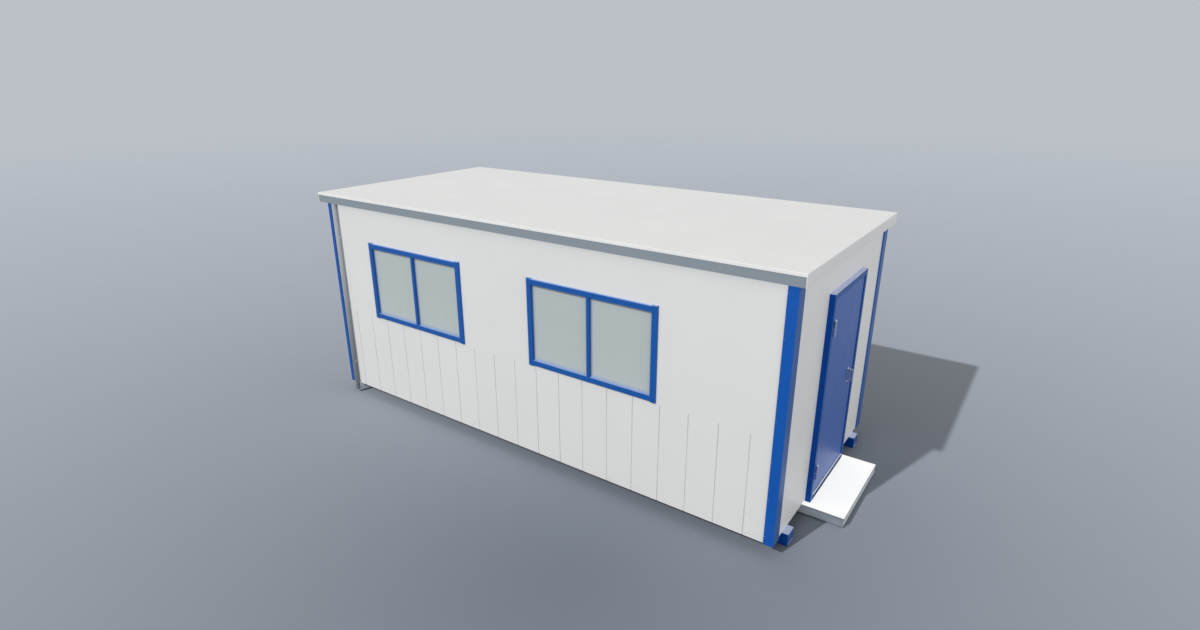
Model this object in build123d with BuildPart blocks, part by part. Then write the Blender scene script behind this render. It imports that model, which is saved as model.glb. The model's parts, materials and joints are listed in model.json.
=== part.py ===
from build123d import *
import os

os.makedirs("parts", exist_ok=True)

# Portable site cabin on two steel skids, in millimetres. +X runs along the cabin to the door end,
# +Y to the back, +Z up. The origin is on the ground, under the middle of the whole outline, from
# the roof's left edge to the front of the step.

# Driving dimensions: the body, measured over its corner posts
BODY_LENGTH = 5855
BODY_WIDTH = 2660
EAVES_HEIGHT = 2492

# Base
SKID_HEIGHT = 126
SKID_WIDTH = 140
SKID_WALL = 8
SKID_FROM_SIDE = 243
SKID_REACH = 45
JOIST_HEIGHT = 48
JOIST_FLANGE = 50
JOIST_WALL = 4
JOIST_BAYS = 10
JOIST_INSET = 85
DECK_THICK = 21

# Walls: a foam core behind a steel skin, which is grooved below the windows on the long sides
CORE_THICK = 50
SKIN_THICK = 6
GROOVE_WIDTH = 11
GROOVE_BAYS = 20
GROOVE_TOP = 1145

# Corner posts, folded from sheet steel, standing out in front of the skins
POST_FACE_LEFT = 50
POST_FACE_RIGHT = 96
POST_FACE_Y = 134
POST_STAND_OUT = 14
POST_WALL = 4
POST_CORNER = 7

# Roof
ROOF_OVERHANG_LEFT = 107
ROOF_OVERHANG_RIGHT = 58
ROOF_OVERHANG_SIDE = 41
FASCIA_HEIGHT = 85
CAP_THICK = 28
CAP_EDGE = 3
CEILING_THICK = 12
GUTTER_WIDTH = 62
GUTTER_WALL = 3
GUTTER_SET_BACK = 4
OUTLET_RADIUS = 18
VERGE_THICK = 7

# Downpipe
PIPE_RADIUS = 25
PIPE_WALL = 2
PIPE_FROM_END = 143
PIPE_GAP = 3
PIPE_FOOT = 38
PIPE_BRACKETS = 3
BRACKET_HEIGHT = 26
BRACKET_THICK = 2
BRACKET_ARM = 18

# Windows of two lights, with a flanged frame and a slim sash on each side of the mullion
WINDOW_WIDTH = 1495
WINDOW_HEIGHT = 920
WINDOW_SILL = 1163
WINDOW_FROM_LEFT = 708
WINDOW_FROM_RIGHT = 1214
WINDOW_RAIL = 56
WINDOW_LAP = 18
WINDOW_STAND_OUT = 22
WINDOW_EDGE = 4
WINDOW_HORN = 8
MULLION_WIDTH = 32
LIP_DEPTH = 20
SASH_RAIL = 14
SASH_DEPTH = 20
GLASS_THICK = 6
GLASS_SET_BACK = 10

# Door, hinged on its -Y edge and opening outwards
DOOR_CENTRE_Y = 18
FRAME_WIDTH = 1010
FRAME_TOP = 2200
FRAME_FACE = 54
FRAME_STAND_OUT = 53
SILL_HEIGHT = 60
STOP_SIZE = 14
STOP_GAP = 5
LEAF_THICK = 44
LEAF_GAP = 6
LEAF_RECESS = 8
LEAF_EDGE = 3

# Lift-off hinges: the lower half carries the pin, the upper half is bored for it
HINGE_RADIUS = 11
HINGE_LENGTH = 148
HINGE_FROM_BOTTOM = 166
HINGE_FROM_TOP = 190
HINGE_SPLIT = 3
HINGE_PLATE = 4
HINGE_PLATE_WIDTH = 24
HINGE_CAP = 6
PIN_RADIUS = 5
PIN_CLEARANCE = 0.1
PIN_END_GAP = 2

# Pull handle, an upright plate with a finger slot, on a backplate
HANDLE_HEIGHT = 1158
HANDLE_LENGTH = 130
HANDLE_REACH = 52
HANDLE_THICK = 12
HANDLE_CORNER = 16
HANDLE_GRIP = 13
HANDLE_EDGE = 3
HANDLE_FROM_EDGE = 162
SLOT_WIDTH = 18
SLOT_LENGTH = 88
HANDLE_PLATE_WIDTH = 32
HANDLE_PLATE_LENGTH = 156
HANDLE_PLATE_THICK = 3
HANDLE_PLATE_CORNER = 6

# Step in front of the door
STEP_HEIGHT = 110
STEP_DEPTH = 394
STEP_UNDER_WALL = 38
STEP_WIDTH = 1116
STEP_CENTRE_Y = 4
STEP_FOOT_HEIGHT = 16
STEP_FOOT_INSET = 20
TREAD_THICK = 22
TREAD_NOSE = 4
TREAD_EDGE = 3

# The body along X: its middle stands off the origin by half of what the step adds at one end over
# what the roof's overhang adds at the other
step_reach = STEP_DEPTH - POST_STAND_OUT
body_mid = (ROOF_OVERHANG_LEFT - step_reach) / 2
body_left = body_mid - BODY_LENGTH / 2
body_right = body_mid + BODY_LENGTH / 2
wall_left = body_left + POST_STAND_OUT
wall_right = body_right - POST_STAND_OUT
core_left = wall_left + SKIN_THICK
core_right = wall_right - SKIN_THICK
inner_left = core_left + CORE_THICK
inner_right = core_right - CORE_THICK
panel_left = body_left + POST_FACE_LEFT
panel_right = body_right - POST_FACE_RIGHT

# The body across Y, the same on both sides
half_width = BODY_WIDTH / 2
wall_y = half_width - POST_STAND_OUT
core_y = wall_y - SKIN_THICK
inner_y = core_y - CORE_THICK
panel_y = half_width - POST_FACE_Y

# Heights
wall_base = SKID_HEIGHT
wall_height = EAVES_HEIGHT - wall_base
fascia_top = EAVES_HEIGHT + FASCIA_HEIGHT

sides = (("front", -1), ("back", 1))


def block(x0, x1, y0, y1, z0, z1):
    """A plain box between two corners, added to the part being built."""
    with Locations((x0, y0, z0)):
        Box(x1 - x0, y1 - y0, z1 - z0, align=(Align.MIN, Align.MIN, Align.MIN))


def side_block(x0, x1, side, y_inside, y_outside, z0, z1):
    """A box on one long side, between two distances from the middle of the cabin."""
    low, high = sorted((side * y_inside, side * y_outside))
    block(x0, x1, low, high, z0, z1)


def side_plane(side, y):
    """The upright plane along a long side, y out from the middle. It faces the front, so on both
    sides extrude(amount=-side * depth) runs outwards."""
    return Plane.XZ.offset(-side * y)


def save(piece, name):
    piece.part.label = name
    export_step(piece.part, f"parts/{name}.step")


# ---------------------------------------------------------------- base
skid_y = half_width - SKID_FROM_SIDE - SKID_WIDTH / 2
skid_length = BODY_LENGTH + 2 * SKID_REACH
for name, side in sides:
    with BuildPart() as skid:
        with BuildSketch(Plane.YZ.offset(body_left - SKID_REACH)):
            with Locations((side * skid_y, SKID_HEIGHT / 2)):
                RectangleRounded(SKID_WIDTH, SKID_HEIGHT, SKID_WALL)
        extrude(amount=skid_length)
        # a box section, closed by a plate at each end
        with BuildSketch(Plane.YZ.offset(body_left - SKID_REACH + SKID_WALL)):
            with Locations((side * skid_y, SKID_HEIGHT / 2)):
                Rectangle(SKID_WIDTH - 2 * SKID_WALL, SKID_HEIGHT - 2 * SKID_WALL)
        extrude(amount=skid_length - 2 * SKID_WALL, mode=Mode.SUBTRACT)
    save(skid, f"skid_{name}")

joist_run = BODY_LENGTH - 2 * JOIST_INSET - JOIST_FLANGE
skid_inside = skid_y - SKID_WIDTH / 2
skid_outside = skid_y + SKID_WIDTH / 2
with BuildPart() as floor_joists:
    for y0, y1 in ((-inner_y, -skid_outside), (-skid_inside, skid_inside), (skid_outside, inner_y)):
        with BuildSketch(Plane.XZ.offset(-y1)):
            with Locations((body_mid, wall_base - JOIST_HEIGHT / 2)):
                with GridLocations(joist_run / JOIST_BAYS, 0, JOIST_BAYS + 1, 1):
                    Rectangle(JOIST_FLANGE, JOIST_HEIGHT)
                    with Locations((JOIST_WALL, 0)):
                        Rectangle(JOIST_FLANGE, JOIST_HEIGHT - 2 * JOIST_WALL, mode=Mode.SUBTRACT)
        extrude(amount=y1 - y0)
save(floor_joists, "floor_joists")

with BuildPart() as floor_deck:
    block(inner_left, inner_right, -inner_y, inner_y, wall_base, wall_base + DECK_THICK)
save(floor_deck, "floor_deck")

# ---------------------------------------------------------------- corner posts
post_depth = POST_STAND_OUT + SKIN_THICK + CORE_THICK
for side_name, side in sides:
    for end_name, end_x, panel_x, inwards in (
        ("left", body_left, panel_left, 1),
        ("right", body_right, panel_right, -1),
    ):
        corner = (end_x, side * half_width)
        long_side_edge = (panel_x, side * half_width)
        end_edge = (end_x, side * panel_y)
        with BuildPart() as post:
            with BuildSketch(Plane.XY.offset(wall_base)) as outline:
                with BuildLine():
                    Polyline(
                        corner,
                        long_side_edge,
                        (panel_x, side * inner_y),
                        (end_x + inwards * post_depth, side * inner_y),
                        (end_x + inwards * post_depth, side * panel_y),
                        end_edge,
                        close=True,
                    )
                make_face()
                # the sheet is folded round the three corners that show
                for fold in (corner, long_side_edge, end_edge):
                    at_fold = Vertex(*fold, 0)
                    fillet(outline.vertices().sort_by_distance(at_fold)[0], POST_CORNER)
                offset(amount=-POST_WALL, mode=Mode.SUBTRACT)
            extrude(amount=wall_height)
        save(post, f"post_{side_name}_{end_name}")

# ---------------------------------------------------------------- window places
window_mid_z = WINDOW_SILL + WINDOW_HEIGHT / 2
window_centres = (
    ("left", body_left + WINDOW_FROM_LEFT + WINDOW_WIDTH / 2),
    ("right", body_right - WINDOW_FROM_RIGHT - WINDOW_WIDTH / 2),
)
window_hole_width = WINDOW_WIDTH - 2 * WINDOW_LAP
window_hole_height = WINDOW_HEIGHT - 2 * WINDOW_LAP

# ---------------------------------------------------------------- long walls and their skins
for name, side in sides:
    with BuildPart() as wall:
        side_block(panel_left, panel_right, side, inner_y, core_y, wall_base, EAVES_HEIGHT)
        with BuildSketch(side_plane(side, inner_y)):
            for _, x in window_centres:
                with Locations((x, window_mid_z)):
                    Rectangle(window_hole_width, window_hole_height)
        extrude(amount=-side * CORE_THICK, mode=Mode.SUBTRACT)
    save(wall, f"{name}_wall")

    with BuildPart() as skin:
        side_block(panel_left, panel_right, side, core_y, wall_y, wall_base, EAVES_HEIGHT)
        with BuildSketch(side_plane(side, core_y)):
            for _, x in window_centres:
                with Locations((x, window_mid_z)):
                    Rectangle(window_hole_width, window_hole_height)
        extrude(amount=-side * SKIN_THICK, mode=Mode.SUBTRACT)
        # square bars turned on edge cut the V grooves
        with BuildSketch(Plane.XY.offset(wall_base)):
            with Locations((body_mid, side * wall_y)):
                with GridLocations(BODY_LENGTH / GROOVE_BAYS, 0, GROOVE_BAYS - 1, 1):
                    Rectangle(GROOVE_WIDTH / 2**0.5, GROOVE_WIDTH / 2**0.5, rotation=45)
        extrude(amount=GROOVE_TOP - wall_base, mode=Mode.SUBTRACT)
    save(skin, f"{name}_cladding")

# ---------------------------------------------------------------- end walls and their skins
with BuildPart() as left_end_wall:
    block(core_left, inner_left, -panel_y, panel_y, wall_base, EAVES_HEIGHT)
save(left_end_wall, "left_end_wall")

# the door frame laps over the cut-out by half its face
frame_low_y = DOOR_CENTRE_Y - FRAME_WIDTH / 2
frame_high_y = DOOR_CENTRE_Y + FRAME_WIDTH / 2
door_hole_low = frame_low_y + FRAME_FACE / 2
door_hole_high = frame_high_y - FRAME_FACE / 2
door_hole_top = FRAME_TOP - FRAME_FACE / 2
end_pieces = (
    ("right_wall_front", -panel_y, door_hole_low, wall_base),
    ("right_wall_back", door_hole_high, panel_y, wall_base),
    ("right_wall_over_door", door_hole_low, door_hole_high, door_hole_top),
)
for name, y0, y1, z0 in end_pieces:
    with BuildPart() as wall:
        block(inner_right, core_right, y0, y1, z0, EAVES_HEIGHT)
    save(wall, name)

for name, inside_x, outside_x in (("left", core_left, wall_left), ("right", core_right, wall_right)):
    with BuildPart() as skin:
        x0, x1 = sorted((inside_x, outside_x))
        block(x0, x1, -panel_y, panel_y, wall_base, EAVES_HEIGHT)
        if name == "right":
            with BuildSketch(Plane.YZ.offset(core_right)):
                with Locations((DOOR_CENTRE_Y, (wall_base + door_hole_top) / 2)):
                    Rectangle(door_hole_high - door_hole_low, door_hole_top - wall_base)
            extrude(amount=SKIN_THICK, mode=Mode.SUBTRACT)
    save(skin, f"{name}_cladding")

# ---------------------------------------------------------------- windows
opening_width = WINDOW_WIDTH - 2 * WINDOW_RAIL
opening_height = WINDOW_HEIGHT - 2 * WINDOW_RAIL
window_front = wall_y + WINDOW_STAND_OUT
sash_front = window_front - LIP_DEPTH
# behind the flange's lip the lining is wider by the sash rails, which leaves only the glass in view
rebate_width = opening_width + 2 * SASH_RAIL
rebate_height = opening_height + 2 * SASH_RAIL
light_width = (opening_width - MULLION_WIDTH) / 2
light_shift = (light_width + MULLION_WIDTH) / 2
jamb_shift = (WINDOW_WIDTH - WINDOW_RAIL) / 2

for side_name, side in sides:
    for end_name, window_x in window_centres:
        with BuildPart() as frame:
            # the flange on the wall's outer face, its jambs running past the rails as horns
            with BuildSketch(side_plane(side, wall_y)):
                with Locations((window_x, window_mid_z)):
                    Rectangle(WINDOW_WIDTH, WINDOW_HEIGHT)
                    with Locations((-jamb_shift, 0), (jamb_shift, 0)):
                        Rectangle(WINDOW_RAIL, WINDOW_HEIGHT + 2 * WINDOW_HORN)
            extrude(amount=-side * WINDOW_STAND_OUT)
            flange_front = frame.faces().sort_by(Axis((0, 0, 0), (0, side, 0)))[-1]
            chamfer(flange_front.edges(), WINDOW_EDGE)
            # the lining through the wall
            with BuildSketch(side_plane(side, inner_y)):
                with Locations((window_x, window_mid_z)):
                    Rectangle(window_hole_width, window_hole_height)
            extrude(amount=-side * (wall_y - inner_y))
            # the rebate for the sashes, open to the room
            with BuildSketch(side_plane(side, inner_y)):
                with Locations((window_x, window_mid_z)):
                    Rectangle(rebate_width, rebate_height)
            extrude(amount=-side * (sash_front - inner_y), mode=Mode.SUBTRACT)
            # the two lights, with the mullion left between them
            with BuildSketch(side_plane(side, sash_front)):
                with Locations((window_x, window_mid_z)):
                    with Locations((-light_shift, 0), (light_shift, 0)):
                        Rectangle(light_width, opening_height)
            extrude(amount=-side * LIP_DEPTH, mode=Mode.SUBTRACT)
        save(frame, f"window_{side_name}_{end_name}_frame")

        with BuildPart() as sashes:
            with BuildSketch(side_plane(side, sash_front)):
                with Locations((window_x, window_mid_z)):
                    with Locations((-light_shift, 0), (light_shift, 0)):
                        Rectangle(light_width + 2 * SASH_RAIL, rebate_height)
                        Rectangle(light_width, opening_height, mode=Mode.SUBTRACT)
            extrude(amount=side * SASH_DEPTH)
        save(sashes, f"window_{side_name}_{end_name}_sashes")

    with BuildPart() as glass:
        for _, window_x in window_centres:
            with BuildSketch(side_plane(side, sash_front - GLASS_SET_BACK)):
                with Locations((window_x, window_mid_z)):
                    with Locations((-light_shift, 0), (light_shift, 0)):
                        Rectangle(light_width, opening_height)
            extrude(amount=side * GLASS_THICK)
    save(glass, f"{side_name}_window_glass")

# ---------------------------------------------------------------- door frame and sill
frame_front = wall_right + FRAME_STAND_OUT
frame_bottom = STEP_HEIGHT
clear_low_y = frame_low_y + FRAME_FACE
clear_high_y = frame_high_y - FRAME_FACE
clear_width = clear_high_y - clear_low_y
clear_bottom = frame_bottom + SILL_HEIGHT
clear_top = FRAME_TOP - FRAME_FACE
leaf_front = frame_front - LEAF_RECESS
leaf_back = leaf_front - LEAF_THICK
stop_front = leaf_back - STOP_GAP
with BuildPart() as door_frame:
    # the casing, from the step up, outside the wall
    with BuildSketch(Plane.YZ.offset(wall_right)):
        with Locations((DOOR_CENTRE_Y, (frame_bottom + FRAME_TOP) / 2)):
            Rectangle(FRAME_WIDTH, FRAME_TOP - frame_bottom)
        with Locations((DOOR_CENTRE_Y, (frame_bottom + clear_top) / 2)):
            Rectangle(clear_width, clear_top - frame_bottom, mode=Mode.SUBTRACT)
    extrude(amount=FRAME_STAND_OUT)
    # the lining through the wall
    with BuildSketch(Plane.YZ.offset(inner_right)):
        with Locations((DOOR_CENTRE_Y, (wall_base + door_hole_top) / 2)):
            Rectangle(door_hole_high - door_hole_low, door_hole_top - wall_base)
        with Locations((DOOR_CENTRE_Y, (wall_base + clear_top) / 2)):
            Rectangle(clear_width, clear_top - wall_base, mode=Mode.SUBTRACT)
    extrude(amount=wall_right - inner_right)
    # the stop that the leaf closes against
    with BuildSketch(Plane.YZ.offset(stop_front - STOP_SIZE)):
        with Locations((DOOR_CENTRE_Y, (clear_bottom + clear_top) / 2)):
            Rectangle(clear_width, clear_top - clear_bottom)
        with Locations((DOOR_CENTRE_Y, (clear_bottom + clear_top - STOP_SIZE) / 2)):
            Rectangle(
                clear_width - 2 * STOP_SIZE, clear_top - STOP_SIZE - clear_bottom, mode=Mode.SUBTRACT
            )
    extrude(amount=STOP_SIZE)
save(door_frame, "door_frame")

with BuildPart() as door_sill:
    block(wall_right, frame_front, clear_low_y, clear_high_y, frame_bottom, clear_bottom)
    block(inner_right, wall_right, clear_low_y, clear_high_y, wall_base, clear_bottom)
    block(
        stop_front - STOP_SIZE,
        stop_front,
        clear_low_y + STOP_SIZE,
        clear_high_y - STOP_SIZE,
        clear_bottom,
        clear_bottom + STOP_SIZE,
    )
save(door_sill, "door_sill")

# ---------------------------------------------------------------- door leaf
leaf_low_y = clear_low_y + LEAF_GAP
leaf_high_y = clear_high_y - LEAF_GAP
leaf_bottom = clear_bottom + LEAF_GAP
leaf_top = clear_top - LEAF_GAP
with BuildPart() as door_leaf:
    block(leaf_back, leaf_front, leaf_low_y, leaf_high_y, leaf_bottom, leaf_top)
    fillet(door_leaf.faces().sort_by(Axis.X)[-1].edges(), LEAF_EDGE)
save(door_leaf, "door_leaf")

# ---------------------------------------------------------------- hinges
hinge_x = frame_front + HINGE_RADIUS
hinge_y = clear_low_y + LEAF_GAP / 2
half_barrel = (HINGE_LENGTH - HINGE_SPLIT) / 2
hinge_starts = (leaf_bottom + HINGE_FROM_BOTTOM, leaf_top - HINGE_FROM_TOP - HINGE_LENGTH)
plate_front = frame_front + HINGE_PLATE
with BuildPart() as hinge_frame_side:
    for z in hinge_starts:
        with BuildSketch(Plane.XY.offset(z)):
            with Locations((hinge_x, hinge_y)):
                Circle(HINGE_RADIUS)
        extrude(amount=half_barrel)
        with BuildSketch(Plane.XY.offset(z)):
            with Locations((hinge_x, hinge_y)):
                Circle(PIN_RADIUS)
        extrude(amount=HINGE_LENGTH - HINGE_CAP - PIN_END_GAP)
        block(frame_front, plate_front, hinge_y - HINGE_PLATE_WIDTH, hinge_y, z, z + half_barrel)
save(hinge_frame_side, "hinge_frame_side")

with BuildPart() as hinge_door_side:
    for z in hinge_starts:
        top_half = z + half_barrel + HINGE_SPLIT
        top = z + HINGE_LENGTH
        plate_edge = hinge_y + HINGE_PLATE_WIDTH
        with BuildSketch(Plane.XY.offset(top_half)):
            with Locations((hinge_x, hinge_y)):
                Circle(HINGE_RADIUS)
        extrude(amount=half_barrel)
        block(frame_front, plate_front, hinge_y, plate_edge, top_half, top)
        block(leaf_front, frame_front, leaf_low_y + LEAF_EDGE, plate_edge, top_half, top)
        with BuildSketch(Plane.XY.offset(top_half)):
            with Locations((hinge_x, hinge_y)):
                Circle(PIN_RADIUS + PIN_CLEARANCE)
        extrude(amount=half_barrel - HINGE_CAP, mode=Mode.SUBTRACT)
save(hinge_door_side, "hinge_door_side")

# ---------------------------------------------------------------- pull handle
handle_y = leaf_high_y - HANDLE_FROM_EDGE
slot_x = leaf_front + HANDLE_REACH - HANDLE_GRIP - SLOT_WIDTH / 2
with BuildPart() as door_handle:
    with BuildSketch(Plane.XZ.offset(-handle_y - HANDLE_THICK / 2)) as side_outline:
        with Locations((leaf_front + HANDLE_REACH / 2, HANDLE_HEIGHT)):
            Rectangle(HANDLE_REACH, HANDLE_LENGTH)
        fillet(side_outline.vertices().group_by(Axis.X)[-1], HANDLE_CORNER)
        with Locations((slot_x, HANDLE_HEIGHT)):
            SlotOverall(SLOT_LENGTH, SLOT_WIDTH, rotation=90, mode=Mode.SUBTRACT)
    extrude(amount=HANDLE_THICK)
    # every edge of its two sides is rounded for the hand, but for those on the leaf
    side_edges = door_handle.faces().filter_by(Axis.Y).edges()
    edges_on_leaf = door_handle.faces().sort_by(Axis.X)[0].edges()
    fillet(side_edges - edges_on_leaf, HANDLE_EDGE)
    with BuildSketch(Plane.YZ.offset(leaf_front)):
        with Locations((handle_y, HANDLE_HEIGHT)):
            RectangleRounded(HANDLE_PLATE_WIDTH, HANDLE_PLATE_LENGTH, HANDLE_PLATE_CORNER)
    extrude(amount=HANDLE_PLATE_THICK)
save(door_handle, "door_handle")

# ---------------------------------------------------------------- roof
roof_left = body_left - ROOF_OVERHANG_LEFT
roof_right = body_right + ROOF_OVERHANG_RIGHT
roof_side = half_width + ROOF_OVERHANG_SIDE
gutter_outside = roof_side - GUTTER_SET_BACK
gutter_inside = gutter_outside - GUTTER_WIDTH
between_left = roof_left + VERGE_THICK
between_right = roof_right - VERGE_THICK
with BuildPart() as ceiling:
    block(inner_left, inner_right, -inner_y, inner_y, EAVES_HEIGHT - CEILING_THICK, EAVES_HEIGHT)
save(ceiling, "ceiling")

with BuildPart() as roof_panel:
    block(between_left, between_right, -gutter_inside, gutter_inside, EAVES_HEIGHT, fascia_top)
save(roof_panel, "roof_panel")

with BuildPart() as roof_cap:
    block(roof_left, roof_right, -roof_side, roof_side, fascia_top, fascia_top + CAP_THICK)
    chamfer(roof_cap.faces().sort_by(Axis.Z)[-1].edges(), CAP_EDGE)
save(roof_cap, "roof_cap")

with BuildPart() as verge_trims:
    for x0 in (roof_left, between_right):
        block(x0, x0 + VERGE_THICK, -roof_side, roof_side, EAVES_HEIGHT, fascia_top)
save(verge_trims, "verge_trims")

# ---------------------------------------------------------------- gutters and downpipes
pipe_x = body_left + PIPE_FROM_END
pipe_y = wall_y + PIPE_GAP + PIPE_RADIUS
pipe_length = EAVES_HEIGHT - PIPE_FOOT
gutter_mid_y = (gutter_inside + gutter_outside) / 2
for name, side in sides:
    with BuildPart() as gutter:
        side_block(
            between_left, between_right, side, gutter_inside, gutter_outside, EAVES_HEIGHT, fascia_top
        )
        with BuildSketch(Plane.XY.offset(EAVES_HEIGHT + GUTTER_WALL)):
            with Locations(((between_left + between_right) / 2, side * gutter_mid_y)):
                Rectangle(
                    between_right - between_left - 2 * GUTTER_WALL,
                    GUTTER_WIDTH - 2 * GUTTER_WALL,
                )
        extrude(amount=FASCIA_HEIGHT, mode=Mode.SUBTRACT)
        # the outlet over the downpipe
        with BuildSketch(Plane.XY.offset(EAVES_HEIGHT)):
            with Locations((pipe_x, side * pipe_y)):
                Circle(OUTLET_RADIUS)
        extrude(amount=GUTTER_WALL, mode=Mode.SUBTRACT)
    save(gutter, f"eaves_gutter_{name}")

    with BuildPart() as downpipe:
        with BuildSketch(Plane.XY.offset(PIPE_FOOT)):
            with Locations((pipe_x, side * pipe_y)):
                Circle(PIPE_RADIUS)
        extrude(amount=pipe_length)
        for i in range(PIPE_BRACKETS):
            bracket_z = PIPE_FOOT + (i + 0.5) * pipe_length / PIPE_BRACKETS
            with BuildSketch(Plane.XY.offset(bracket_z - BRACKET_HEIGHT / 2)):
                with Locations((pipe_x, side * pipe_y)):
                    Circle(PIPE_RADIUS + BRACKET_THICK)
                with Locations((pipe_x, side * (wall_y + pipe_y) / 2)):
                    Rectangle(BRACKET_ARM, pipe_y - wall_y)
            extrude(amount=BRACKET_HEIGHT)
        with BuildSketch(Plane.XY.offset(PIPE_FOOT)):
            with Locations((pipe_x, side * pipe_y)):
                Circle(PIPE_RADIUS - PIPE_WALL)
        extrude(amount=pipe_length, mode=Mode.SUBTRACT)
    save(downpipe, f"downpipe_{name}")

# ---------------------------------------------------------------- step
step_low_y = STEP_CENTRE_Y - STEP_WIDTH / 2
step_high_y = STEP_CENTRE_Y + STEP_WIDTH / 2
step_back = wall_right - STEP_UNDER_WALL
step_front = wall_right + STEP_DEPTH
tread_bottom = STEP_HEIGHT - TREAD_THICK
with BuildPart() as step_base:
    # the body stands in from the tread's nose, and its foot in from the body
    for inset, z0, z1 in (
        (TREAD_NOSE, STEP_FOOT_HEIGHT, tread_bottom),
        (TREAD_NOSE + STEP_FOOT_INSET, 0, STEP_FOOT_HEIGHT),
    ):
        block(step_back, step_front - inset, step_low_y + inset, step_high_y - inset, z0, z1)
save(step_base, "step_base")

with BuildPart() as step_tread:
    block(step_back, step_front, step_low_y, step_high_y, tread_bottom, STEP_HEIGHT)
    chamfer(step_tread.faces().sort_by(Axis.Z)[-1].edges().sort_by(Axis.X)[-1], TREAD_EDGE)
save(step_tread, "step_tread")
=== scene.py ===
import json
import math
import random

import bmesh
import bpy
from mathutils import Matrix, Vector


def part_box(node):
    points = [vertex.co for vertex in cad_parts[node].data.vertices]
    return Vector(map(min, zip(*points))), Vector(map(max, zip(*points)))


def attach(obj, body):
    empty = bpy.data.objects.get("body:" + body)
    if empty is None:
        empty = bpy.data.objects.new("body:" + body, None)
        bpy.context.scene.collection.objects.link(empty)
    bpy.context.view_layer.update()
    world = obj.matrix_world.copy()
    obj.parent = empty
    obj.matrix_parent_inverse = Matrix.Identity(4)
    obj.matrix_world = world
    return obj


# The looks of a portable site cabin, in metres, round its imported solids. +X runs along the cabin to
# the door end, +Y to the back, +Z up.
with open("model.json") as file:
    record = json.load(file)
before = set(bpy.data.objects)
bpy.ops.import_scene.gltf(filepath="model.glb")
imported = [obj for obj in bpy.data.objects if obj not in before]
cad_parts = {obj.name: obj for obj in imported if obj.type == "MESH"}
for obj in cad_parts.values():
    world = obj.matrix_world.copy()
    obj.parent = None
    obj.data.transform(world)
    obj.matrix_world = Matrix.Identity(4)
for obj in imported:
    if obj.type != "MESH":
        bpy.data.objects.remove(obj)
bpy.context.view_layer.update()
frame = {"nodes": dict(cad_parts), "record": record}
random.seed(7)

SIDES = (("front", -1), ("back", 1))
ENDS = (("left", -1), ("right", 1))


def face(box, axis, side):
    """Where a box ends along an axis: its low face for side -1, its high face for side 1."""
    return getattr(box[0] if side < 0 else box[1], axis)


def islands(node):
    """The boxes of a node's separate solids, from left to right."""
    mesh = bmesh.new()
    mesh.from_mesh(frame["nodes"][node].data)
    bmesh.ops.remove_doubles(mesh, verts=mesh.verts, dist=1e-5)
    left, boxes = set(mesh.verts), []
    while left:
        found, todo = set(), [left.pop()]
        while todo:
            vertex = todo.pop()
            found.add(vertex)
            for edge in vertex.link_edges:
                other = edge.other_vert(vertex)
                if other in left:
                    left.discard(other)
                    todo.append(other)
        places = [v.co for v in found]
        boxes.append(
            (
                Vector(min(p[k] for p in places) for k in range(3)),
                Vector(max(p[k] for p in places) for k in range(3)),
            )
        )
    mesh.free()
    return sorted(boxes, key=lambda box: (round(box[0].x, 4), round(box[0].z, 4)))


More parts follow.
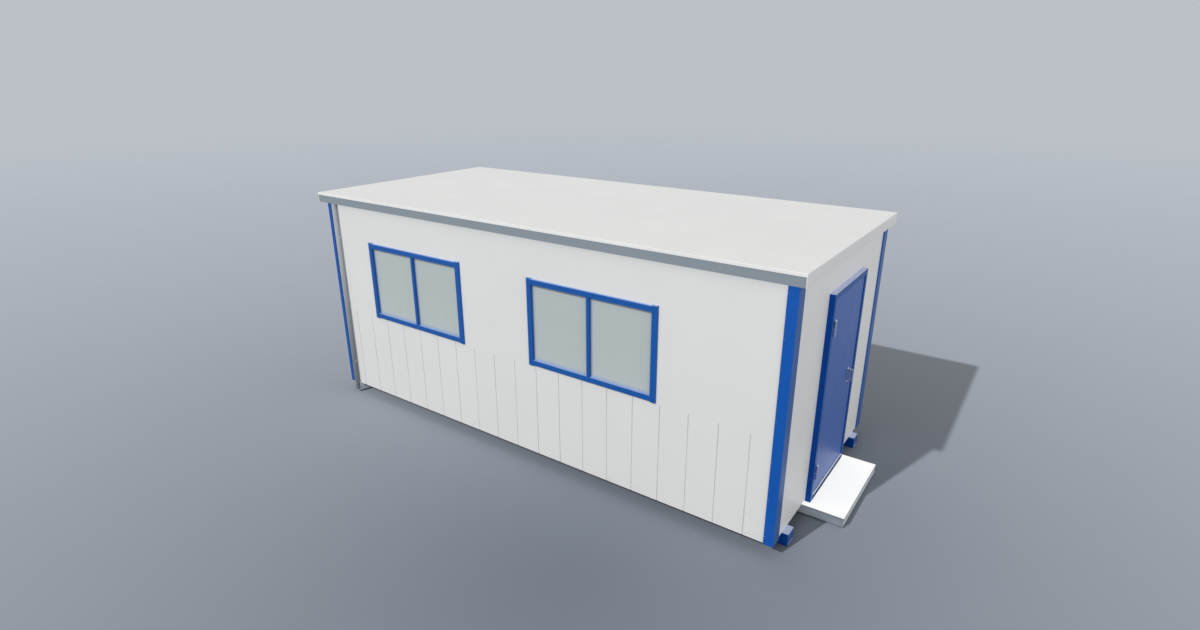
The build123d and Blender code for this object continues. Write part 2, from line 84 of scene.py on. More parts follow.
# ---------------------------------------------------------------- materials
class Paint:
    """One procedural material: a Principled shader and the nodes that feed it."""

    def __init__(self, name, roughness=0.5, metallic=0.0, specular=0.5):
        self.material = bpy.data.materials.new(name)
        self.material.use_nodes = True
        self.tree = self.material.node_tree
        self.shader = self.tree.nodes["Principled BSDF"]
        self.place = self.node("ShaderNodeTexCoord").outputs["Object"]
        self.shader.inputs["Roughness"].default_value = roughness
        self.shader.inputs["Metallic"].default_value = metallic
        self.shader.inputs["Specular IOR Level"].default_value = specular

    def node(self, kind, **settings):
        made = self.tree.nodes.new(kind)
        for key, value in settings.items():
            setattr(made, key, value)
        return made

    def put(self, value, socket):
        """Links an output to a socket, or sets a plain value on it."""
        if isinstance(value, bpy.types.NodeSocket):
            self.tree.links.new(value, socket)
        else:
            socket.default_value = value

    def math(self, operation, a, b=0.0):
        made = self.node("ShaderNodeMath", operation=operation)
        self.put(a, made.inputs[0])
        self.put(b, made.inputs[1])
        return made.outputs[0]

    def range(self, value, low, high, to_low=0.0, to_high=1.0):
        """A smooth step that is to_low at low and to_high at high."""
        made = self.node("ShaderNodeMapRange", interpolation_type="SMOOTHSTEP")
        for socket, given in zip(made.inputs, (value, low, high, to_low, to_high)):
            self.put(given, socket)
        return made.outputs[0]

    def mix(self, factor, a, b, blend="MIX"):
        made = self.node("ShaderNodeMix", data_type="RGBA", blend_type=blend)
        self.put(factor, made.inputs["Factor"])
        self.put(a, made.inputs["A"])
        self.put(b, made.inputs["B"])
        return made.outputs["Result"]

    def noise(self, scale, detail=3.0, stretch=(1.0, 1.0, 1.0)):
        """Noise with scale features to the metre, drawn out along an axis with a small stretch."""
        mapped = self.node("ShaderNodeMapping")
        self.put(self.place, mapped.inputs["Vector"])
        mapped.inputs["Scale"].default_value = stretch
        made = self.node("ShaderNodeTexNoise")
        self.put(mapped.outputs[0], made.inputs["Vector"])
        made.inputs["Scale"].default_value = scale
        made.inputs["Detail"].default_value = detail
        return made.outputs["Fac"]

    def along(self, axis, vector=None):
        """One coordinate of a vector, or of the place on the cabin."""
        split = self.node("ShaderNodeSeparateXYZ")
        self.put(vector or self.place, split.inputs[0])
        return split.outputs[axis]

    def height(self):
        return self.along("Z")

    def facing(self, axis, low=0.35, high=0.85):
        """1 where a face looks along an axis and 0 where it looks across it."""
        normal = self.node("ShaderNodeNewGeometry").outputs["Normal"]
        return self.range(self.along(axis, normal), low, high)

    def inside(self, boxes):
        """How far a place is inside the nearest of some upright boxes, seen along Y."""
        x, z = self.along("X"), self.height()

        def between(place, low, high):
            past_low = self.math("SUBTRACT", place, low)
            return self.math("MINIMUM", past_low, self.math("SUBTRACT", high, place))

        deepest = -1.0
        for low, high in boxes:
            depth = self.math("MINIMUM", between(x, low.x, high.x), between(z, low.z, high.z))
            deepest = self.math("MAXIMUM", deepest, depth)
        return deepest

    def clouded(self, colour, dark, pale, scale, detail=4.0):
        """A colour that drifts softly between a darker and a paler shade of itself."""
        cover = self.range(self.noise(scale, detail), 0.3, 0.7)
        return self.mix(cover, shade(colour, dark), shade(colour, pale))

    def edge(self, radius):
        """1 along the outer edges of a solid and 0 on its flats."""
        rounded = self.node("ShaderNodeBevel", samples=4)
        rounded.inputs["Radius"].default_value = radius
        flat = self.node("ShaderNodeNewGeometry")
        dot = self.node("ShaderNodeVectorMath", operation="DOT_PRODUCT")
        self.put(rounded.outputs[0], dot.inputs[0])
        self.put(flat.outputs["Normal"], dot.inputs[1])
        return self.range(dot.outputs["Value"], 0.995, 0.9)

    def bump(self, height, distance, over=None):
        made = self.node("ShaderNodeBump")
        made.inputs["Distance"].default_value = distance
        self.put(height, made.inputs["Height"])
        if over is not None:
            self.put(over, made.inputs["Normal"])
        return made.outputs[0]

    def finish(self, colour, roughness=None, normal=None):
        """Feeds the shader and hands over the material."""
        self.put(colour, self.shader.inputs["Base Color"])
        if roughness is not None:
            self.put(roughness, self.shader.inputs["Roughness"])
        if normal is not None:
            self.put(normal, self.shader.inputs["Normal"])
        return self.material


def rgb(red, green, blue):
    """An opaque colour in linear light."""
    return (red, green, blue, 1.0)


def shade(colour, factor):
    """The colour made darker by a factor below 1 or paler by one above it."""
    return rgb(*(min(1.0, channel * factor) for channel in colour[:3]))


DUST = rgb(0.36, 0.33, 0.29)
GRIME = rgb(0.16, 0.155, 0.145)


def coated_steel(
    name,
    colour,
    roughness=0.42,
    specular=0.4,
    dirt=0.04,
    streaks=0.02,
    wear=0.2,
    top_light=None,
    end_sheen_and_shade=None,
    foot=None,
):
    """Factory painted sheet: slight orange peel, faint clouding and rain streaks, rubbed edges.
    The first of the optional colours is painted light on the faces that look up, in patches, the
    second painted light on those that look along +X, a pale sheen on the blue and shade on the roof,
    and foot the colour near the ground."""
    paint = Paint(name, roughness, specular=specular)
    tone = paint.clouded(colour, 0.985, 1.012, 1.7)
    runs = paint.range(paint.noise(1.0, 5.0, (11.0, 11.0, 0.4)), 0.50, 0.82, 0.0, streaks)
    tone = paint.mix(runs, tone, GRIME)
    specks = paint.range(paint.noise(140.0, 2.0), 0.68, 0.80, 0.0, dirt)
    tone = paint.mix(specks, tone, DUST)
    low = paint.range(paint.height(), 0.45, 0.10)
    splash = paint.range(paint.noise(9.0, 6.0), 0.45, 0.75, 0.0, dirt * 1.5)
    splash = paint.math("MULTIPLY", low, splash)
    tone = paint.mix(splash, tone, DUST)
    rubbed = paint.range(paint.noise(30.0, 4.0), 0.45, 0.65, 0.0, wear)
    rubbed = paint.math("MULTIPLY", paint.edge(0.004), rubbed)
    tone = paint.mix(rubbed, tone, shade(colour, 1.6))
    # Painted light on the faces that look along +X: a pale sheen on the blue, shade on the roof.
    if end_sheen_and_shade:
        tone = paint.mix(paint.facing("X", 0.5, 0.9), tone, end_sheen_and_shade)
    if foot:
        tone = paint.mix(paint.range(paint.height(), 2.3, 0.0), tone, foot)
    # Painted light: the faces that look up are made paler, in patches.
    if top_light:
        patchy = paint.range(paint.noise(24.0, 5.0), 0.3, 0.7, 0.82, 0.96)
        tone = paint.mix(paint.math("MULTIPLY", paint.facing("Z"), patchy), tone, top_light)
    peel = paint.bump(paint.noise(420.0, 2.0), 0.00012)
    normal = paint.bump(paint.noise(3.2, 2.0), 0.0003, peel)
    rough = paint.range(paint.noise(6.0, 4.0), 0.3, 0.7, roughness - 0.02, roughness + 0.03)
    return paint.finish(tone, rough, normal)


def grooved_sheet(name, colour, outside, depth):
    """The wall skins: painted sheet whose pressed grooves are painted darker, as shade with a little
    dirt. outside says how far the sheet's face is from the middle of the cabin along Y, and depth how
    deep its grooves go."""
    paint = Paint(name, 0.42, specular=0.4)
    tone = paint.clouded(colour, 0.988, 1.008, 1.3)
    runs = paint.range(paint.noise(1.0, 5.0, (9.0, 9.0, 0.35)), 0.55, 0.85, 0.0, 0.02)
    tone = paint.mix(runs, tone, GRIME)
    # Painted shade in the pressed grooves, in patches, with a little dirt.
    out = paint.math("ABSOLUTE", paint.along("Y"))
    groove_shade = paint.math(
        "MULTIPLY",
        paint.range(out, outside - depth * 0.2, outside - depth * 0.8),
        paint.range(out, outside - depth * 2.5, outside - depth * 1.5),
    )
    patchy = paint.range(paint.noise(2.2, 5.0), 0.3, 0.7, 0.25, 0.60)
    groove_shade = paint.math("MULTIPLY", groove_shade, patchy)
    tone = paint.mix(groove_shade, tone, shade(colour, 0.42))
    specks = paint.range(paint.noise(150.0, 2.0), 0.68, 0.80, 0.0, 0.035)
    tone = paint.mix(specks, tone, DUST)
    low = paint.range(paint.height(), 0.40, 0.12)
    splash = paint.range(paint.noise(9.0, 6.0), 0.5, 0.75, 0.0, 0.045)
    splash = paint.math("MULTIPLY", low, splash)
    tone = paint.mix(splash, tone, DUST)
    peel = paint.bump(paint.noise(420.0, 2.0), 0.00012)
    normal = paint.bump(paint.noise(2.6, 2.0), 0.0003, peel)
    rough = paint.range(paint.noise(6.0, 4.0), 0.3, 0.7, 0.41, 0.46)
    return paint.finish(tone, rough, normal)


def panel_lining(name, colour):
    """The inner face of the wall panels and their foam filled edges."""
    paint = Paint(name, 0.5, specular=0.35)
    tone = paint.clouded(colour, 0.96, 1.02, 2.5)
    scuffs = paint.range(paint.noise(1.0, 6.0, (14.0, 14.0, 5.0)), 0.66, 0.74, 0.0, 0.12)
    tone = paint.mix(scuffs, tone, GRIME)
    return paint.finish(tone, None, paint.bump(paint.noise(260.0, 2.0), 0.0002))


def obscured_glass(name, colour, edge_shade, panes):
    """Pale window glass with a finely mottled inner face, and painted shade and a painted blue
    reflection of the frame near the edges of its panes.
    """
    paint = Paint(name, 0.16, specular=0.5)
    low = paint.range(paint.height(), 1.25, 1.75)
    tone = paint.mix(low, shade(colour, 1.03), shade(colour, 0.99))
    mottle = paint.range(paint.noise(55.0, 3.0), 0.35, 0.65, 0.0, 0.3)
    tone = paint.mix(mottle, tone, shade(colour, 1.04))
    film = paint.range(paint.noise(1.0, 6.0, (9.0, 9.0, 1.2)), 0.5, 0.8, 0.0, 0.06)
    tone = paint.mix(film, tone, DUST)
    # Painted shade and a painted reflection of the blue frame along the panes' edges.
    near = paint.range(paint.inside(panes), PANE_EDGE, 0.0, 0.0, 0.9)
    tone = paint.mix(near, tone, edge_shade)
    paint.shader.inputs["Coat Weight"].default_value = 0.4
    paint.shader.inputs["Coat Roughness"].default_value = 0.05
    paint.shader.inputs["Transmission Weight"].default_value = 0.12
    rough = paint.range(paint.noise(12.0, 4.0), 0.3, 0.7, 0.14, 0.24)
    return paint.finish(tone, rough, paint.bump(paint.noise(90.0, 2.0), 0.0002))


def fitting_steel(name, colour, cap, metallic=0.3, roughness=0.4, painted=None, ends=None):
    """Hinges and handle: dull plated steel, with a painted highlight on its upward faces. painted is
    a colour and a place along X behind which it covers the steel, and ends are the heights between
    which the steel is dull and near which it gets a painted highlight."""
    paint = Paint(name, roughness, metallic=metallic)
    grain = paint.noise(1.0, 6.0, (60.0, 900.0, 900.0))
    tone = paint.mix(paint.range(grain, 0.35, 0.65), shade(colour, 0.9), shade(colour, 1.08))
    stain = paint.range(paint.noise(45.0, 5.0), 0.55, 0.75, 0.0, 0.25)
    tone = paint.mix(stain, tone, shade(colour, 0.6))
    if painted:
        behind, place = painted
        tone = paint.mix(paint.range(paint.along("X"), place - 0.001, place + 0.001), behind, tone)
    # Painted highlight: the steel is paler near both ends.
    if ends:
        low, high = ends
        reach = (high - low) / 2
        off = paint.math("SUBTRACT", paint.height(), (low + high) / 2)
        end_highlight = paint.range(paint.math("ABSOLUTE", off), reach - 0.008, reach, 0.0, 0.8)
        tone = paint.mix(end_highlight, tone, cap)
    # Painted highlight along the edges and on the faces that look up.
    tone = paint.mix(paint.math("MULTIPLY", paint.edge(0.0025), 0.15), tone, shade(cap, 0.8))
    tone = paint.mix(paint.facing("Z"), tone, cap)
    rough = paint.range(grain, 0.3, 0.7, roughness - 0.08, roughness + 0.12)
    return paint.finish(tone, rough, paint.bump(grain, 0.0001))


def rubber(name, dark, pale):
    """Dull rubber that drifts between two colours."""
    paint = Paint(name, 0.68, specular=0.3)
    tone = paint.mix(paint.range(paint.noise(60.0, 4.0), 0.35, 0.7), dark, pale)
    return paint.finish(tone, None, paint.bump(paint.noise(500.0, 2.0), 0.0002))


def cast_concrete(name, colour, end):
    """The step's block: fine cast grain, blow holes, and damp at the foot. end is a paler colour
    painted on its long front, which looks along +X, as painted light."""
    paint = Paint(name, 0.85, specular=0.25)
    tone = paint.clouded(colour, 0.90, 1.08, 7.0, 8.0)
    grains = paint.range(paint.noise(180.0, 3.0), 0.4, 0.7, 0.0, 0.5)
    tone = paint.mix(grains, tone, shade(colour, 1.22))
    # Painted light: the long front that looks along +X is paler.
    tone = paint.mix(paint.math("MULTIPLY", paint.facing("X"), 0.8), tone, end)
    holes = paint.node("ShaderNodeTexVoronoi")
    paint.put(paint.place, holes.inputs["Vector"])
    holes.inputs["Scale"].default_value = 70.0
    pit = paint.range(holes.outputs["Distance"], 0.20, 0.10)
    pit = paint.math("MULTIPLY", pit, paint.range(paint.noise(16.0, 2.0), 0.5, 0.62))
    tone = paint.mix(pit, tone, shade(colour, 0.45))
    damp = paint.range(paint.height(), 0.025, 0.0, 0.0, 0.3)
    tone = paint.mix(damp, tone, shade(colour, 0.55))
    normal = paint.bump(paint.math("SUBTRACT", paint.noise(240.0, 4.0), pit), 0.0012)
    return paint.finish(tone, None, normal)


def step_surface(name, colour, side, end):
    """The step's top slab: white, lightly gritted and scuffed where feet land, with its edges painted
    in light and shade. side is the darker colour, painted shade on its short edges, and end the paler
    one, painted light on its long front edge."""
    paint = Paint(name, 0.55, specular=0.3)
    tone = paint.clouded(colour, 0.985, 1.0, 4.0, 5.0)
    scuff = paint.range(paint.noise(1.0, 7.0, (16.0, 5.0, 16.0)), 0.62, 0.80, 0.0, 0.05)
    tone = paint.mix(scuff, tone, GRIME)
    rubbed = paint.math("MULTIPLY", paint.edge(0.004), 0.2)
    tone = paint.mix(rubbed, tone, rgb(0.50, 0.50, 0.49))
    # Painted light and shade on the edges: darker on the short edges, paler on the long front.
    edge_light_and_shade = paint.mix(paint.facing("X"), side, end)
    grains = paint.range(paint.noise(160.0, 3.0), 0.35, 0.7, 0.0, 0.4)
    edge_light_and_shade = paint.mix(grains, edge_light_and_shade, shade(side, 0.7))
    tone = paint.mix(paint.facing("Z", 0.6, 0.8), edge_light_and_shade, tone)
    return paint.finish(tone, None, paint.bump(paint.noise(650.0, 2.0), 0.0006))


def floor_covering(name, colour):
    """Speckled vinyl sheet."""
    paint = Paint(name, 0.4, specular=0.4)
    flecks = paint.node("ShaderNodeTexVoronoi")
    paint.put(paint.place, flecks.inputs["Vector"])
    flecks.inputs["Scale"].default_value = 140.0
    tone = paint.clouded(colour, 0.9, 1.1, 3.0, 5.0)
    flecked = paint.math("MULTIPLY", flecks.outputs["Color"], 0.22)
    tone = paint.mix(flecked, tone, rgb(0.75, 0.73, 0.70))
    return paint.finish(tone, None, paint.bump(paint.noise(320.0, 3.0), 0.0002))


# The paints and surfaces. Several colours below are painted light or painted shade, as the
# comment by each says.
WHITE = rgb(0.755, 0.752, 0.735)
ROOF_WHITE = rgb(0.815, 0.812, 0.797)
GREY = rgb(0.247, 0.287, 0.321)
PIPE_GREY = rgb(0.43, 0.46, 0.48)
BLUE = rgb(0.003, 0.090, 0.415)
FRAME_BLUE = rgb(0.006, 0.090, 0.365)
# Painted sheen: the door leaf's blue, paler and greyer, also used on the hinge plates.
LEAF_SHEEN_BLUE = rgb(0.055, 0.124, 0.385)
SHADED_BLUE = rgb(0.0, 0.060, 0.345)
# Painted shade: the sill's very dark blue.
SILL_SHADE_BLUE = rgb(0.004, 0.030, 0.115)
# Painted sheen: the paler, greyer blue of the faces that look along +X.
END_SHEEN_BLUE = rgb(0.038, 0.104, 0.310)
# Painted light: the pale colours of the upward faces of the blue steel and of the window frames.
TOP_LIGHT_BLUE = rgb(0.64, 0.725, 0.97)
FRAME_TOP_LIGHT = rgb(0.30, 0.42, 0.70)
GLASS = rgb(0.54, 0.598, 0.585)
# Painted shade and reflection of the frame, for the panes' edges.
GLASS_EDGE_SHADE = rgb(0.38, 0.46, 0.58)
HINGE = rgb(0.25, 0.33, 0.53)
PULL = rgb(0.21, 0.275, 0.42)
# Painted highlight colours of the fittings, and the pale strip's own colour.
BRIGHT = rgb(0.82, 0.84, 0.88)
BRIGHTEST = rgb(0.93, 0.94, 0.96)
LINING = rgb(0.70, 0.70, 0.68)
CEILING = rgb(0.74, 0.74, 0.72)
VINYL = rgb(0.22, 0.19, 0.16)
JOIST_BLUE = rgb(0.02, 0.05, 0.14)
CONCRETE = rgb(0.49, 0.54, 0.595)
# Painted light: the paler face of the step's block along +X.
CONCRETE_END_LIT = rgb(0.60, 0.64, 0.65)
TREAD = rgb(0.955, 0.95, 0.90)
# Painted shade and painted light for the step slab's edges.
TREAD_SIDE_SHADE = rgb(0.165, 0.195, 0.225)
TREAD_END_LIT = rgb(0.37, 0.40, 0.41)

# The finishes of the coated steel.
SATIN = {"roughness": 0.40, "specular": 0.3, "dirt": 0.015, "streaks": 0.0}
SHADED = {"specular": 0.1, "dirt": 0.015, "streaks": 0.0, "top_light": TOP_LIGHT_BLUE}
GREY_COAT = {"roughness": 0.45, "wear": 0.15}
ROOF_COAT = {"roughness": 0.5, "streaks": 0.0, "wear": 0.0}

PULL_PLATE_END = 0.013
HINGE_PLATE = 0.004
PANE_EDGE = 0.038
GROOVE_DEPTH = 0.002

skin_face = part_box("back_cladding")[1].y
pull_low, pull_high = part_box("door_handle")
pull_ends = (pull_low.z + PULL_PLATE_END, pull_high.z - PULL_PLATE_END)
plate_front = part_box("door_frame")[1].x + HINGE_PLATE
hinge_paint = (LEAF_SHEEN_BLUE, plate_front + 0.002)
panes = islands("front_window_glass")

looks = {
    "white_steel": grooved_sheet("white_steel", WHITE, skin_face, GROOVE_DEPTH),
    # The roof's faces that look along +X get painted shade.
    "roof_sheet": coated_steel(
        "roof_sheet", ROOF_WHITE, end_sheen_and_shade=shade(ROOF_WHITE, 0.90), **ROOF_COAT
    ),
    "grey_steel": coated_steel("grey_steel", GREY, foot=shade(GREY, 0.62), **GREY_COAT),
    "blue_steel": coated_steel("blue_steel", BLUE, top_light=TOP_LIGHT_BLUE, end_sheen_and_shade=END_SHEEN_BLUE, **SATIN),
    "insulated_panel": panel_lining("insulated_panel", LINING),
    "ceiling_board": panel_lining("ceiling_board", CEILING),
    "floor_board": floor_covering("floor_board", VINYL),
    "joist_steel": coated_steel("joist_steel", JOIST_BLUE, roughness=0.55, dirt=0.15),
    "blue_window": coated_steel("blue_window", FRAME_BLUE, top_light=FRAME_TOP_LIGHT, **SATIN),
    "window_glass": obscured_glass("window_glass", GLASS, GLASS_EDGE_SHADE, panes),
    "plated_steel": fitting_steel("plated_steel", PULL, BRIGHT, ends=pull_ends),
    "step_concrete": cast_concrete("step_concrete", CONCRETE, CONCRETE_END_LIT),
    "step_top": step_surface("step_top", TREAD, TREAD_SIDE_SHADE, TREAD_END_LIT),
}

# Nodes that look a little different from the rest of their slot.
hinge_steel = fitting_steel("hinge_steel", HINGE, BRIGHT, metallic=0.0, painted=hinge_paint)
pipe_grey = coated_steel("pipe_grey", PIPE_GREY, foot=shade(GREY, 0.60), **GREY_COAT)
shaded_blue = coated_steel("shaded_blue", SHADED_BLUE, end_sheen_and_shade=END_SHEEN_BLUE, **SHADED)
special = {
    "hinge_frame_side": hinge_steel,
    "hinge_door_side": hinge_steel,
    "door_leaf": coated_steel("door_sheen_blue", LEAF_SHEEN_BLUE, **SATIN),
    "door_sill": coated_steel(
        "sill_shaded_blue",
        SILL_SHADE_BLUE,
        specular=0.05,
        roughness=0.6,
        dirt=0.015,
        streaks=0.0,
        top_light=TOP_LIGHT_BLUE,
    ),
    "door_frame": shaded_blue,
    "skid_front": shaded_blue,
    "skid_back": shaded_blue,
    # Painted shade: the verge trims a little darker than the wall's white.
    "verge_trims": coated_steel("verge_shaded_white", shade(WHITE, 0.95), streaks=0.0, wear=0.0),
    "downpipe_front": pipe_grey,
    "downpipe_back": pipe_grey,
}
slot_of = {row["node"]: row["material_slot"] for row in frame["record"]["subparts"]}
for node, solid in frame["nodes"].items():
    for material_slot in solid.material_slots:
        material_slot.material = special.get(node, looks[slot_of[node]])

# Looks of the pieces that are added below.
# The pale strip gets a painted highlight on its tops; on the hinge pins' heads it paints a glint.
bright_strip = fitting_steel("bright_strip", BRIGHT, BRIGHTEST, metallic=0.0)
plain_blue = coated_steel("plain_blue", FRAME_BLUE, **SATIN)
seal_rubber = rubber("seal_rubber", rgb(0.03, 0.031, 0.033), rgb(0.07, 0.07, 0.072))
# Painted light: the glazing seals are a pale blue-grey, as light along the panes' edges.
grey_seal = rubber("grey_seal", rgb(0.34, 0.41, 0.52), rgb(0.42, 0.49, 0.60))


# ---------------------------------------------------------------- mesh helpers
def piece(name, mesh, material, body):
    """Closes a bmesh into one object in the cabin's frame that rides on a body."""
    bmesh.ops.recalc_face_normals(mesh, faces=mesh.faces)
    data = bpy.data.meshes.new(name)
    mesh.to_mesh(data)
    mesh.free()
    made = bpy.data.objects.new(name, data)
    bpy.context.scene.collection.objects.link(made)
    data.materials.append(material)
    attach(made, body)
    return made


def smooth(made, angle=35):
    """Shades a piece smooth, with the edges sharper than angle left crisp."""
    for polygon in made.data.polygons:
        polygon.use_smooth = True
    for edge, faces in edge_faces(made.data).items():
        if len(faces) == 2:
            a, b = (made.data.polygons[f].normal for f in faces)
            made.data.edges[edge].use_edge_sharp = a.angle(b, 0.0) > math.radians(angle)
    return made


def edge_faces(data):
    """The faces that touch each edge of a mesh, by index."""
    touching = {}
    for polygon in data.polygons:
        for loop in polygon.loop_indices:
            touching.setdefault(data.loops[loop].edge_index, []).append(polygon.index)
    return touching


def ring_faces(mesh, rings, closed):
    """Faces between rings of vertices; a ring may be one vertex."""
    pairs = list(zip(rings, rings[1:]))
    if closed:
        pairs.append((rings[-1], rings[0]))
    for ring, after in pairs:
        count = max(len(ring), len(after))
        for i in range(count):
            j = (i + 1) % count
            corners = [ring[k % len(ring)] for k in (i, j)]
            corners += [after[k % len(after)] for k in (j, i)]
            unique = list(dict.fromkeys(corners))
            if len(unique) > 2:
                mesh.faces.new(unique)


def circle(mesh, at, turn, radius, count, height=0.0):
    """A ring of vertices round the Z axis that turn has tipped."""
    angles = [math.tau * i / count for i in range(count)]
    return [
        mesh.verts.new(
            Vector(at) + turn @ Vector((radius * math.cos(a), radius * math.sin(a), height))
        )
        for a in angles
    ]


def lathe(mesh, profile, at, axis, steps=14):
    """Revolves (radius, height) points about an axis through a point. A radius of 0 is the tip."""
    turn = Vector(axis).to_track_quat("Z", "Y")
    rings = [
        circle(mesh, at, turn, radius, steps if radius else 1, height)
        for radius, height in profile
    ]
    ring_faces(mesh, rings, closed=False)


def rivet(mesh, at, axis, radius=0.0055):
    """A domed blind rivet with its dimple."""
    lathe(
        mesh,
        [
            (radius, -0.001),
            (radius, radius * 0.12),
            (radius * 0.86, radius * 0.32),
            (radius * 0.55, radius * 0.46),
            (radius * 0.30, radius * 0.48),
            (radius * 0.24, radius * 0.36),
            (0, radius * 0.34),
        ],
        at,
        axis,
    )


def hex_screw(mesh, at, axis, radius=0.006):
    """A washer faced hexagon head screw."""
    lathe(
        mesh,
        [(radius * 1.5, -0.001), (radius * 1.5, 0.0008), (radius * 1.3, 0.0016), (0, 0.0018)],
        at,
        axis,
        steps=18,
    )
    lathe(
        mesh,
        [
            (radius, 0.0006),
            (radius, radius * 0.62),
            (radius * 0.88, radius * 0.74),
            (radius * 0.5, radius * 0.78),
            (0, radius * 0.72),
        ],
        at,
        axis,
        steps=6,
    )


def pan_screw(mesh, at, axis, radius=0.0045):
    """A countersunk head flush with its plate, with a socket."""
    lathe(
        mesh,
        [
            (radius, -0.001),
            (radius, 0.0003),
            (radius * 0.8, radius * 0.16),
            (radius * 0.42, radius * 0.24),
            (radius * 0.36, radius * 0.06),
            (0, radius * 0.04),
        ],
        at,
        axis,
        steps=12,
    )


def mitred_frame(mesh, low, high, profile, place):
    """A closed profile of (inset, height) points carried round a rectangle with mitred corners.
    place turns (u, v, height) into a point of the cabin."""
    (u0, v0), (u1, v1) = low, high
    corners = ((u0, v0, 1, 1), (u1, v0, -1, 1), (u1, v1, -1, -1), (u0, v1, 1, -1))
    rings = [
        [mesh.verts.new(place(u + su * inset, v + sv * inset, up)) for inset, up in profile]
        for u, v, su, sv in corners
    ]
    ring_faces(mesh, rings, closed=True)


def weld_bead(mesh, path, radius=0.003, pitch=0.005):
    """A rippled fillet of weld laid along a line of points."""
    for start, end in zip(path, path[1:]):
        along = Vector(end) - Vector(start)
        count = max(2, round(along.length / pitch))
        turn = along.to_track_quat("Z", "Y")
        rings = []
        for i in range(count + 1):
            swell = radius * (1.0 + 0.16 * math.cos(math.pi * i) + random.uniform(-0.08, 0.08))
            rings.append(circle(mesh, Vector(start) + along * (i / count), turn, swell, 6))
        ring_faces(mesh, rings, closed=False)
        mesh.faces.new(rings[0])
        mesh.faces.new(rings[-1])


def extrude(mesh, profile, start, end, place):
    """A closed profile of (a, b) points carried from start to end, with its ends closed. place
    turns (a, b, along) into a point of the cabin."""
    rings = [[mesh.verts.new(place(a, b, along)) for a, b in profile] for along in (start, end)]
    ring_faces(mesh, rings, closed=False)
    for ring in rings:
        mesh.faces.new(ring)


def pill_cap(mesh, at, side, half_width, half_height, proud, steps=8):
    """A round ended cap on a wall that faces along Y."""
    rings = []
    for shrink, rise in ((0.0, None), (0.0, 0.6), (0.3, 0.9), (0.8, 1.0)):
        radius = half_height - shrink * proud
        out = side * (-0.0005 if rise is None else rise * proud)
        ring = []
        for end in (1, -1):
            for i in range(steps + 1):
                turn = end * math.pi / 2 - end * math.pi * i / steps
                across = end * (half_width - half_height) + end * radius * math.cos(turn)
                offset = Vector((across, out, radius * math.sin(turn)))
                ring.append(mesh.verts.new(Vector(at) + offset))
        rings.append(ring)
    ring_faces(mesh, rings, closed=False)
    mesh.faces.new(rings[0])
    mesh.faces.new(rings[-1])


def spaced(start, end, gap):
    """Even places from start to end, about gap apart."""
    count = max(1, round((end - start) / gap))
    return [start + (end - start) * i / count for i in range(count + 1)]


# ---------------------------------------------------------------- windows
GASKET_WIDTH = 0.005
GASKET_PROUD = 0.0022
GASKET = [
    (0.0, 0.0),
    (0.0, GASKET_PROUD * 0.5),
    (GASKET_WIDTH * 0.3, GASKET_PROUD),
    (GASKET_WIDTH * 0.75, GASKET_PROUD),
    (GASKET_WIDTH, 0.0003),
    (GASKET_WIDTH, -0.0003),
    (0.0, -0.0003),
]


def glazing_seals(side_name):
    """Seals round both faces of every pane."""
    mesh = bmesh.new()
    for low, high in islands(f"{side_name}_window_glass"):
        for face_y, out in ((low.y, -1), (high.y, 1)):
            mitred_frame(
                mesh,
                (low.x, low.z),
                (high.x, high.z),
                GASKET,
                lambda u, v, up, y=face_y, out=out: (u, y + out * up, v),
            )
    return piece(f"{side_name}_glazing_seals", mesh, grey_seal, "root")


for side_name, _ in SIDES:
    glazing_seals(side_name)


DRAIN_CAP = (0.017, 0.0045, 0.003)
DRAIN_PLACES = (0.22, 0.78)
DRAIN_ABOVE_MIDDLE = 0.004


def drain_caps():
    """Hooded drain holes in the bottom rail of each window, two to a light."""
    mesh = bmesh.new()
    for side_name, side in SIDES:
        for low, high in islands(f"{side_name}_window_glass"):
            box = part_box(f"window_{side_name}_{'left' if high.x < 0 else 'right'}_frame")
            z = (box[0].z + low.z) / 2 + DRAIN_ABOVE_MIDDLE
            for share in DRAIN_PLACES:
                x = low.x + (high.x - low.x) * share
                pill_cap(mesh, (x, face(box, "y", side), z), side, *DRAIN_CAP)
    return smooth(piece("window_drain_caps", mesh, plain_blue, "root"), 50)


drain_caps()


# ---------------------------------------------------------------- posts
RIVET_FROM_EDGE = 0.014
RIVET_FROM_END = 0.08
RIVET_GAP = 0.40


def post_rivets():
    """Rivets down both outer faces of each corner post, near the edge that laps the wall."""
    mesh = bmesh.new()
    for side_name, side in SIDES:
        for end_name, end in ENDS:
            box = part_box(f"post_{side_name}_{end_name}")
            inner_x = face(box, "x", -end) + end * RIVET_FROM_EDGE
            inner_y = face(box, "y", -side) + side * RIVET_FROM_EDGE
            for z in spaced(box[0].z + RIVET_FROM_END, box[1].z - RIVET_FROM_END, RIVET_GAP):
                rivet(mesh, (inner_x, face(box, "y", side), z), (0, side, 0))
                rivet(mesh, (face(box, "x", end), inner_y, z), (end, 0, 0))
    return smooth(piece("post_rivets", mesh, looks["blue_steel"], "root"))


post_rivets()


# ---------------------------------------------------------------- gutters and downpipes
GUTTER_RIVET_RADIUS = 0.0035
GUTTER_RIVET_DROP = 0.013
GUTTER_RIVET_FROM_END = 0.12
GUTTER_RIVET_GAP = 0.6
CLAMP_SCREW_RADIUS = 0.0045
CLAMP_TALLEST = 0.1


